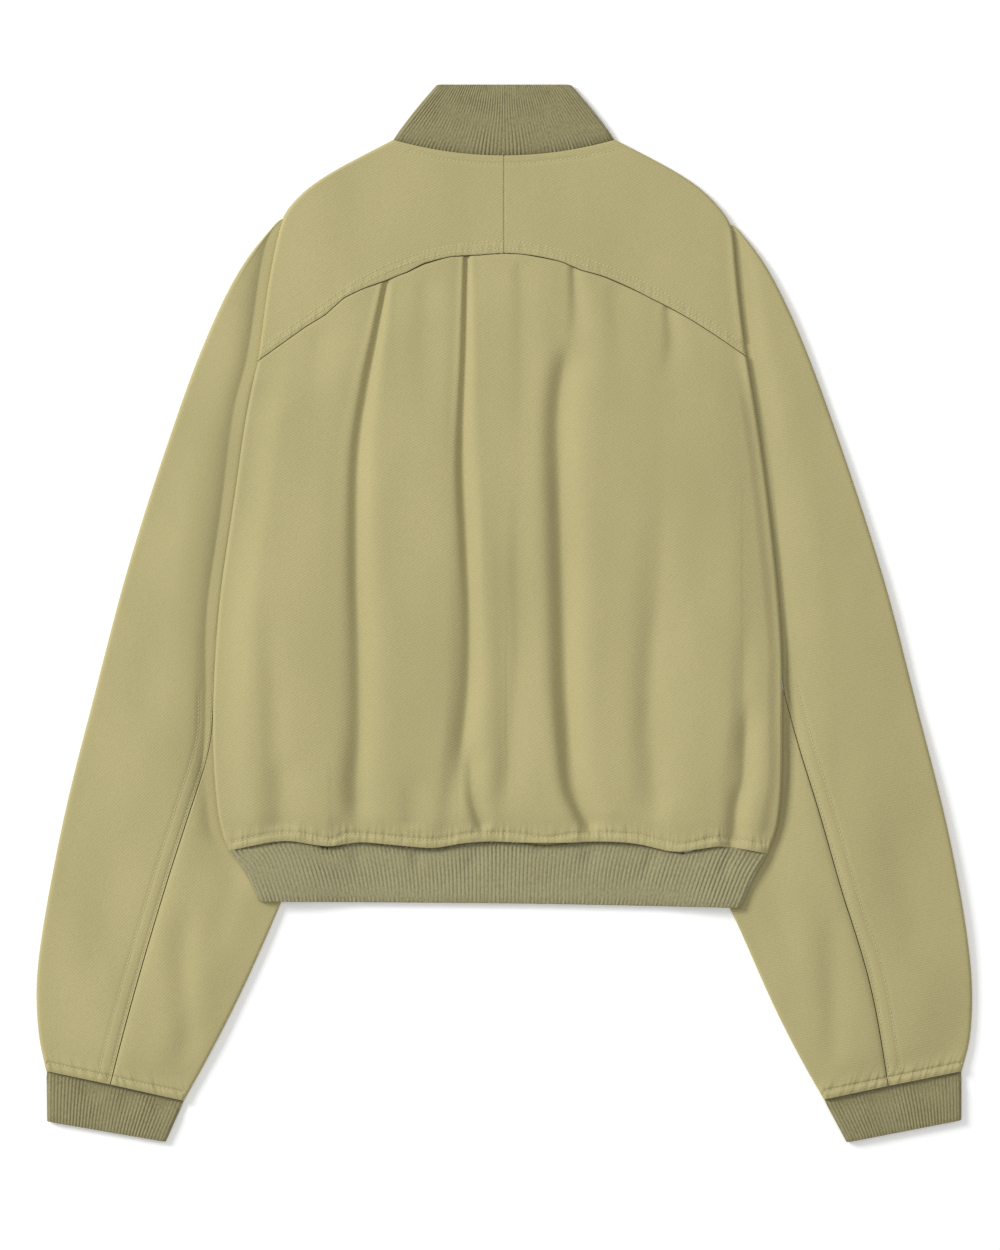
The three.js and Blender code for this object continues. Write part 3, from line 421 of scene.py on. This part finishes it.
# Sleeves: each is an outer and an under piece joined by a seam down the back of the arm, which is
# topstitched twice on the outer piece. They lie flat, doubled, partly under the body.
SLEEVES = {
    "left": {
        "grain": -16,
        "crease": (7, 13),
        "armhole": [(-178.4, 316), (-188, 271), (-197.5, 202), (-206, 165), (-215, 99), (-228, 10),
                    (-232, -50)],
        "tip": (-181, 314), "tip_shift": (1.8, 1.8),
        "body": [(-178.4, 316), (-188, 271)] + LEFT_SIDE_ROW,
        "outside": [(-184, 311.5), (-209, 281), (-241, 215), (-270, 135), (-301, 38), (-326, -57),
                    (-352, -161), (-373, -276), (-376, -317), (-366.5, -365.7)],
        "seam": [(-232.4, -61), (-235, -104), (-252, -160), (-270, -216), (-298, -311),
                 (-315, -376.4)],
        "inside": [(-163, -189), (-178, -230), (-219, -322), (-256, -389.6)],
        "cuff": [(-366.5, -366), (-256, -389.9)],
        "folds": (
            ([(-252, -225), (-257, -270), (-254, -322), (-250, -362)], -2.6, (9, 8), 0.3, 0.2),
            ([(-252, 60), (-272, -30), (-292, -110)], -1.5, (18, 22), 0.4, 0.4),
            ([(-300, -150), (-318, -230), (-330, -310)], -1.6, (20, 14), 0.4, 0.3),
            ([(-205, -180), (-222, -236), (-243, -290)], -1.3, (12, 10), 0.4, 0.4),
        ),
    },
    "right": {
        "grain": 16,
        "crease": (3, 4),
        "armhole": [(183.2, 310.5), (186, 274), (192.4, 217.6), (201, 165), (209, 112),
                    (221.6, -10), (222.4, -46)],
        "tip": (185.5, 309), "tip_shift": (-1.8, 1.8),
        "body": [(183.2, 310.5), (186, 274)] + RIGHT_SIDE_ROW,
        "outside": [(188, 307.5), (204, 289), (233, 233), (268, 140), (306, 22), (326.4, -57),
                    (357, -180), (373.5, -276), (376, -326), (366.5, -365.7)],
        "seam": [(222.4, -57), (237, -110), (249.6, -150), (275, -238), (292, -289),
                 (307.5, -377.6)],
        "inside": [(157, -189), (181.6, -236), (223, -330), (256, -388.6)],
        "cuff": [(366.5, -366), (256, -388.9)],
        "folds": (
            ([(256, -210), (262, -265), (264, -330), (262, -364)], -1.8, (10, 9), 0.4, 0.2),
            ([(248, 80), (266, -10), (284, -90)], -1.2, (18, 22), 0.4, 0.4),
            ([(306, -140), (322, -220), (333, -300)], -1.6, (20, 16), 0.4, 0.3),
            ([(205, -190), (222, -246), (240, -300)], -1.5, (12, 10), 0.4, 0.4),
        ),
    },
}


def beside(rows, gap):
    """The same line moved sideways, to the left of its way if gap is above 0."""
    line = smooth_line(rows)
    way = np.gradient(line, axis=0)
    way /= np.hypot(way[:, 0], way[:, 1])[:, None]
    return [tuple(p) for p in line + gap * np.stack([-way[:, 1], way[:, 0]], axis=1)]


# How far up the sleeve from the cuff its cloth is formed more finely, and where its rows run.
CUFF_SEAM_CUTS = (2.0, 5.0, 7.0, 9.0, 12.0)
CUFF_STITCH_UP = 7.2
SEAM_STITCH_GAPS = (2.2, 11.5)
TIP_REACH = 9
for side, sleeve in SLEEVES.items():
    outward = -1 if side == "left" else 1
    sleeve["stitches"] = [beside(sleeve["seam"], outward * gap) for gap in SEAM_STITCH_GAPS]
    sleeve["cuff_stitch"] = [(x, y + CUFF_STITCH_UP) for x, y in sleeve["cuff"]]
    cloth = brushed_twill("brushed_cotton_twill_sleeve_" + side, math.radians(sleeve["grain"]))
    for part, level, flat, area in (("outer", 3, (0.34, 0.70), 0.125),
                                    ("under", 2, (0.22, 0.34), 0.046)):
        wrist, end = (Vector(p) for p in sleeve["cuff"])
        across = (end - wrist).orthogonal().normalized()
        across *= 1 if across.y > 0 else -1
        cuts = [(wrist + across * up, across) for up in CUFF_SEAM_CUTS]
        piece = tailor("sleeve_" + part + "_" + side, level, cloth, cuts)
        at = read_places(piece)[:, :2]
        rises = uneven(at, 1.0) + billow(
            at, ((sleeve["outside"], 60), (sleeve["inside"], 40), (sleeve["body"], 40),
                 (sleeve["cuff"], 30)), 3.2)
        for rows, rise, width, start, end in sleeve["folds"]:
            rises += fold(at, rows, rise, width, start, end, banks=0.2)
        rises += fold(at, sleeve["body"], -3.2, sleeve["crease"], 0.06, 0.05)
        rises += fold(at, sleeve["seam"], -0.8, (5, 5), 0.02, 0.02)
        if part == "outer":
            for rows in sleeve["stitches"]:
                rises += fold(at, rows, -0.4, (1.5, 1.5), 0.01, 0.01)
        rises += fold(at, sleeve["cuff_stitch"], -1.0, (1.4, 1.4), 0.01, 0.01)
        rises += fold(at, [(x, y + 3.2) for x, y in sleeve["cuff"]], 0.9, (3, 3), 0.01, 0.01)
        under = sum(fold(at, [(x * 0.985, y) for x, y in rows], 1.2, width, start, end)
                    for rows, _, width, start, end in sleeve["folds"])
        lift_cloth(piece, np.maximum(rises, DEEPEST), under)
        if part == "outer":
            tuck_under(piece, sleeve["armhole"])
            places = read_places(piece)
            near = np.exp(-(np.hypot(*(places[:, :2] - sleeve["tip"]).T) / TIP_REACH) ** 2)
            places[:, :2] += near[:, None] * sleeve["tip_shift"]
            piece.data.vertices.foreach_set("co", (places * MM).ravel())
        pucker_along(piece, sleeve["cuff_stitch"], 7)

# Fronts: the two front panels lie under the back, one each side of the zip, and show only from
# below, where the jacket rests on them.
FRONT_FOLDS = (
    ([(60, 250), (66, 120), (60, -20), (66, -150)], 1.6, (10, 13), 0.3, 0.2),
    ([(120, 240), (134, 100), (128, -60), (136, -160)], 1.4, (12, 12), 0.3, 0.2),
    ([(176, 160), (182, 40), (178, -40)], 1.2, (12, 12), 0.4, 0.4),
    ([(92, 60), (98, -60), (94, -165)], 1.0, (9, 10), 0.4, 0.2),
)
for side, out in (("left", -1), ("right", 1)):
    front = tailor("front_" + side, 2, BODY_TWILL)
    at = read_places(front)
    for rows, rise, width, start, end in FRONT_FOLDS:
        at[:, 2] += fold(at[:, :2], [(out * x, y) for x, y in rows], rise, width, start, end)
    front.data.vertices.foreach_set("co", (at * MM).ravel())
    front.data.update()

# Rib knit: the hem, collar and cuffs are doubled strips of cotton rib with a little elastane, a
# shade darker than the cloth, stretched as they are sewn on so that they draw it in. The cloth
# laps over their upper edge.
def rib_knit(name, groove_shade, top):
    """A two-by-two cotton rib: deep soft cords, with the small stitches of the knit along them."""
    material = bpy.data.materials.new(name)
    material.use_nodes = True
    tree = material.node_tree
    shader = tree.nodes["Principled BSDF"]
    place = add_node(tree, "ShaderNodeTexCoord").outputs["Object"]
    # Knit stitches are 1 mm high, so they are drawn as specks a little longer than wide.
    narrow = add_node(tree, "ShaderNodeMapping", {"Vector": place},
                      {"Scale": (900, 500, 900)}).outputs["Vector"]
    specks = add_node(tree, "ShaderNodeTexNoise", {"Vector": narrow},
                      {"Scale": 1, "Detail": 2, "Roughness": 0.6}).outputs["Fac"]
    # Between the cords the knit is painted darker, as painted shade in the grooves: the rib
    # attribute is 1 on a cord, 0 between.
    cord = add_node(tree, "ShaderNodeAttribute", attribute_name="rib").outputs["Fac"]
    mixed = add_node(tree, "ShaderNodeMath", {0: cord, 1: specks, 2: specks},
                     operation="MULTIPLY_ADD").outputs[0]
    ground = add_node(tree, "ShaderNodeValToRGB", {"Fac": mixed})
    ground.color_ramp.elements[0].position = 0.3
    ground.color_ramp.elements[0].color = linear(groove_shade)
    ground.color_ramp.elements[1].position = 1.0
    ground.color_ramp.elements[1].color = linear(top)
    tree.links.new(ground.outputs["Color"], shader.inputs["Base Color"])
    bump = add_node(tree, "ShaderNodeBump", {"Height": specks},
                    {"Strength": 0.5, "Distance": 0.0005}).outputs["Normal"]
    tree.links.new(bump, shader.inputs["Normal"])
    shader.inputs["Roughness"].default_value = 0.95
    shader.inputs["Specular IOR Level"].default_value = 0.2
    shader.inputs["Sheen Weight"].default_value = 0.15
    return material


HEM_KNIT = rib_knit("cotton_rib_knit_hem", "#7D7857", "#9F9975")
# The collar and cuffs get a darker copy of the same knit: painted shade, for the shade they lie in.
KNIT_WITH_PAINTED_SHADE = rib_knit("cotton_rib_knit_painted_shade", "#746E4E", "#958E69")
RIB_HEIGHT = 0.75
RIB_ROUND = 0.7
DENT_DEPTH = 2.4
DENT_HEIGHT = 6
NECK_ROW = [(-89, 379.8), (-60, 372.8), (-30, 368.6), (0, 367.2), (30, 368.6), (60, 372.8),
            (89, 379.8)]
STRIPS = {
    "hem_rib": {
        "knit": HEM_KNIT, "press": (-1.3, 6), "ribs": 125,
        "flat": (0.86, 0.055), "area": 0.042, "seam": HEM_ROW,
        "ends": ([(-220, -190.4), (-205, -205), (-196, -230)],
                 [(211, -192.8), (200, -209), (189.5, -235)]),
        "dents": ((-118, -195, 7), (-24, -197, 8), (68, -196, 7), (117, -199, 6), (178, -200, 5),
                  (-70, -197, 5)),
    },
    "collar_rib": {
        "knit": KNIT_WITH_PAINTED_SHADE, "press": (-1.3, 6), "ribs": 60,
        "flat": (0.40, 0.060), "area": 0.020, "seam": NECK_ROW,
        "ends": ([(-89, 380), (-54, 423.6)], [(89, 380), (54, 423.6)]),
        "dents": (),
    },
    "cuff_left": {
        "knit": KNIT_WITH_PAINTED_SHADE, "press": (-2.2, 9), "ribs": 38,
        "flat": (0.19, 0.055), "area": 0.0095, "seam": SLEEVES["left"]["cuff"],
        "ends": ([(-366.5, -366), (-366, -406)], [(-256, -390), (-270.5, -422.5)]),
        "dents": ((-330, -383, 9), (-300, -391, 9), (-275, -395, 7)),
    },
    "cuff_right": {
        "knit": KNIT_WITH_PAINTED_SHADE, "press": (-2.2, 9), "ribs": 38,
        "flat": (0.19, 0.055), "area": 0.0095, "seam": SLEEVES["right"]["cuff"],
        "ends": ([(256, -389), (274, -423)], [(366.5, -366), (366.4, -405)]),
        "dents": ((338, -382, 12), (305, -389, 13), (276, -395, 9)),
    },
}
for node, strip in STRIPS.items():
    piece = tailor(node, 2, strip["knit"])
    places = read_places(piece)
    at = places[:, :2]
    ends = [np.abs(along_line(at, np.array(rows, float))[0]) for rows in strip["ends"]]
    turn = np.pi * strip["ribs"] * ends[0] / (ends[0] + ends[1])
    cord = np.abs(np.cos(turn)) ** RIB_ROUND
    rises = RIB_HEIGHT * (cord - 0.6)
    # The knit sinks where the gathered cloth above it pushes it down.
    depth, reach = strip["press"]
    rises += fold(at, strip["seam"], depth, (reach, reach), 0.01, 0.01)
    for x, y, size in strip["dents"]:
        near = ((at[:, 0] - x) / size) ** 2 + ((at[:, 1] - y) / DENT_HEIGHT) ** 2
        rises -= DENT_DEPTH * np.exp(-near)
    lift_cloth(piece, rises, RIB_HEIGHT * 0.6 * (1 - cord))
    tuck_under(piece, strip["seam"])
    mark = piece.data.attributes.new("rib", "FLOAT", "POINT")
    # Painted shade: the cords are painted darker near the seam, where the knit sinks under the
    # cloth that laps over it.
    seam_shade = np.exp(-(along_line(at, smooth_line(strip["seam"]))[0] / reach) ** 2)
    mark.data.foreach_set("value", cord * (1 - 0.6 * seam_shade))

# Topstitching: thread a shade lighter than the cloth, in lockstitches 2.6 mm long that sink into
# the cloth, along the neck, yoke, hem and cuffs and twice down each sleeve's seam. They are drawn
# 3.2 mm apart.
STITCH_PITCH = 3.2
STITCH_SIZE = (2.5, 0.75, 0.5)
STITCH_LIFT = 0.12
thread = bpy.data.materials.new("spun_polyester_thread")
thread.use_nodes = True
thread_shader = thread.node_tree.nodes["Principled BSDF"]
thread_place = add_node(thread.node_tree, "ShaderNodeTexCoord").outputs["Object"]
thread_ply = add_node(thread.node_tree, "ShaderNodeTexNoise", {"Vector": thread_place},
                      {"Scale": 900}).outputs["Fac"]
thread_shade = add_node(thread.node_tree, "ShaderNodeValToRGB", {"Fac": thread_ply})
thread_shade.color_ramp.elements[0].color = linear("#B1A97B")
thread_shade.color_ramp.elements[1].color = linear("#D6CF9F")
thread.node_tree.links.new(thread_shade.outputs["Color"], thread_shader.inputs["Base Color"])
thread_shader.inputs["Roughness"].default_value = 0.6
thread_shader.inputs["Sheen Weight"].default_value = 0.2


def topstitch(name, rows, cloth_nodes, below=False):
    """One stitched row, laid on the cloth: each stitch is a small spindle along the row."""
    bm = bmesh.new()
    trees = []
    for node in cloth_nodes:
        wall = bmesh.new()
        wall.from_mesh(bpy.data.objects[node + "_cloth"].data)
        trees.append(BVHTree.FromBMesh(wall))
        wall.free()
    line = smooth_line(rows, 24)
    runs = np.concatenate([[0], np.cumsum(np.hypot(*np.diff(line, axis=0).T))])
    start, way = (-0.01, 1) if below else (0.05, -1)
    for run in np.arange(STITCH_PITCH, runs[-1] - STITCH_PITCH, STITCH_PITCH):
        x, y = (np.interp(run, runs, line[:, i]) for i in (0, 1))
        ahead = Vector([np.interp(run + 1, runs, line[:, i]) for i in (0, 1)] + [0])
        ahead -= Vector((x, y, 0))
        hits = [tree.ray_cast(Vector((x * MM, y * MM, start)), Vector((0, 0, way)), 0.06)
                for tree in trees]
        hits = [hit for hit in hits if hit[0] is not None]
        if not hits:
            continue
        spot, normal, _, _ = min(hits, key=lambda hit: hit[3])
        along = (ahead - normal * ahead.dot(normal)).normalized()
        frame_turn = Matrix((along, normal.cross(along), normal)).transposed().to_4x4()
        size = Matrix.Diagonal([side * MM / 2 for side in STITCH_SIZE] + [1])
        place = Matrix.Translation(spot + normal * STITCH_LIFT * MM) @ frame_turn @ size
        bmesh.ops.create_uvsphere(bm, u_segments=6, v_segments=4, radius=1, matrix=place)
    mesh = bpy.data.meshes.new(name)
    bm.to_mesh(mesh)
    bm.free()
    mesh.materials.append(thread)
    mesh.shade_smooth()
    stitches = bpy.data.objects.new(name, mesh)
    scene.collection.objects.link(stitches)
    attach(stitches, "jacket")


topstitch("hem_stitches", HEM_STITCH_ROW, ["back_panel"])
topstitch("neck_stitches", NECK_STITCH_ROW, ["back_yoke_left", "back_yoke_right"])
for number, rows in enumerate(YOKE_STITCH_ROWS):
    topstitch("yoke_stitches_%d" % (number + 1), rows, ["back_yoke_left", "back_yoke_right"])
for side, sleeve in SLEEVES.items():
    walls = ["sleeve_outer_" + side, "sleeve_under_" + side]
    topstitch("cuff_stitches_" + side, sleeve["cuff_stitch"], walls)
    topstitch("cuff_stitches_below_" + side, sleeve["cuff_stitch"], walls, below=True)
    for number, rows in enumerate(sleeve["stitches"]):
        topstitch("sleeve_stitches_%s_%d" % (side, number + 1), rows, walls[:1])

# Zip: plated brass teeth crimped on woven tapes down the front, closed up to the slider under the
# collar. The tapes are sewn behind the front edges. Only the pull tab moves, on the slider's pin.
TOOTH_PITCH = 1.5
TOOTH_SIZE = (3.4, 0.95, 1.5)
TOOTH_OFFSET = 0.85
TOOTH_BEVEL = 0.22
TAPE_THICKNESS = 0.6
FRONT_STITCH_PLACE = 9.6


def antique_nickel(name, roughness):
    """Nickel-plated brass with a dull grey finish: brighter and smoother where it is rubbed."""
    material = bpy.data.materials.new(name)
    material.use_nodes = True
    tree = material.node_tree
    shader = tree.nodes["Principled BSDF"]
    place = add_node(tree, "ShaderNodeTexCoord").outputs["Object"]
    rub = add_node(tree, "ShaderNodeTexNoise", {"Vector": place},
                   {"Scale": 260, "Detail": 4, "Roughness": 0.6}).outputs["Fac"]
    tint = add_node(tree, "ShaderNodeValToRGB", {"Fac": rub})
    tint.color_ramp.elements[0].position = 0.35
    tint.color_ramp.elements[0].color = linear("#75726A")
    tint.color_ramp.elements[1].position = 0.65
    tint.color_ramp.elements[1].color = linear("#A5A197")
    tree.links.new(tint.outputs["Color"], shader.inputs["Base Color"])
    gloss = add_node(tree, "ShaderNodeMapRange", {"Value": rub},
                     {"To Min": roughness + 0.12, "To Max": roughness - 0.08}).outputs["Result"]
    tree.links.new(gloss, shader.inputs["Roughness"])
    bump = add_node(tree, "ShaderNodeBump", {"Height": rub},
                    {"Strength": 0.2, "Distance": 0.0001}).outputs["Normal"]
    tree.links.new(bump, shader.inputs["Normal"])
    shader.inputs["Metallic"].default_value = 1
    return material


low, high = (np.array(corner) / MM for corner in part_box("zip_chain"))
mesh = bpy.data.meshes.new("zip_teeth")
bm = bmesh.new()
for number, y in enumerate(np.arange(low[1] + 1, high[1] - 1, TOOTH_PITCH)):
    x = TOOTH_OFFSET * (1 if number % 2 else -1)
    bmesh.ops.create_cube(bm, size=MM, matrix=Matrix.Translation(
        Vector((x, y, (low[2] + high[2]) / 2)) * MM) @ Matrix.Diagonal((*TOOTH_SIZE, 1)))
bmesh.ops.bevel(bm, geom=bm.edges[:], offset=TOOTH_BEVEL * MM, offset_type="OFFSET", segments=1,
                profile=0.5, affect="EDGES", material=-1)
bm.to_mesh(mesh)
bm.free()
mesh.materials.append(antique_nickel("antique_nickel_teeth", 0.38))
teeth = bpy.data.objects.new("zip_teeth", mesh)
scene.collection.objects.link(teeth)
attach(teeth, "jacket")
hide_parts("zip_chain")
for node in ("zip_slider", "zip_pull"):
    cast = antique_nickel("antique_nickel_" + node[4:], 0.32)
    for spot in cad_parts[node].material_slots:
        spot.material = cast

tape_weave = bpy.data.materials.new("woven_polyester_tape")
tape_weave.use_nodes = True
tree = tape_weave.node_tree
place = add_node(tree, "ShaderNodeTexCoord").outputs["Object"]
# The herringbone's ribs are 0.7 mm apart and are drawn at 1.4 mm.
turned = add_node(tree, "ShaderNodeMapping", {"Vector": place},
                  {"Rotation": (0, 0, math.radians(58))}).outputs["Vector"]
ribs = add_node(tree, "ShaderNodeTexWave", {"Vector": turned}, {"Scale": 225}).outputs["Fac"]
shade = add_node(tree, "ShaderNodeValToRGB", {"Fac": ribs})
shade.color_ramp.elements[0].color = linear("#837C5A")
shade.color_ramp.elements[1].color = linear("#989170")
tree.links.new(shade.outputs["Color"], tree.nodes["Principled BSDF"].inputs["Base Color"])
bump = add_node(tree, "ShaderNodeBump", {"Height": ribs}, {"Strength": 0.6, "Distance": 0.0002})
tree.links.new(bump.outputs["Normal"], tree.nodes["Principled BSDF"].inputs["Normal"])
tree.nodes["Principled BSDF"].inputs["Roughness"].default_value = 0.7
for side, inner in (("left", 1), ("right", -1)):
    node = "zip_tape_" + side
    low, high = (np.array(corner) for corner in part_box(node))
    middle, size = (low + high) / 2, high - low
    mesh = bpy.data.meshes.new(node + "_woven")
    bm = bmesh.new()
    bmesh.ops.create_grid(bm, x_segments=10, y_segments=160, size=0.5, matrix=Matrix.Translation(
        Vector((*middle[:2], low[2]))) @ Matrix.Diagonal((size[0], size[1], 1, 1)))
    for vert in bm.verts:
        across = inner * (vert.co.x - middle[0]) / size[0] + 0.5
        # The bead along the teeth is the thickest part of the tape, and the rest ripples slightly.
        vert.co.z += (0.15 + 0.12 * math.sin(vert.co.y / MM / 21 + 3 * across) * (1 - across)) * MM
    bmesh.ops.solidify(bm, geom=bm.faces[:], thickness=-TAPE_THICKNESS * MM)
    bmesh.ops.recalc_face_normals(bm, faces=bm.faces)
    bm.to_mesh(mesh)
    bm.free()
    mesh.materials.append(tape_weave)
    mesh.shade_smooth()
    tape = bpy.data.objects.new(node + "_woven", mesh)
    scene.collection.objects.link(tape)
    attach(tape, "jacket")
    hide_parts(node)
    edge = -inner * FRONT_STITCH_PLACE
    topstitch("front_stitches_" + side, [(edge, 298), (edge, 60), (edge, -182)],
              ["front_" + side], below=True)
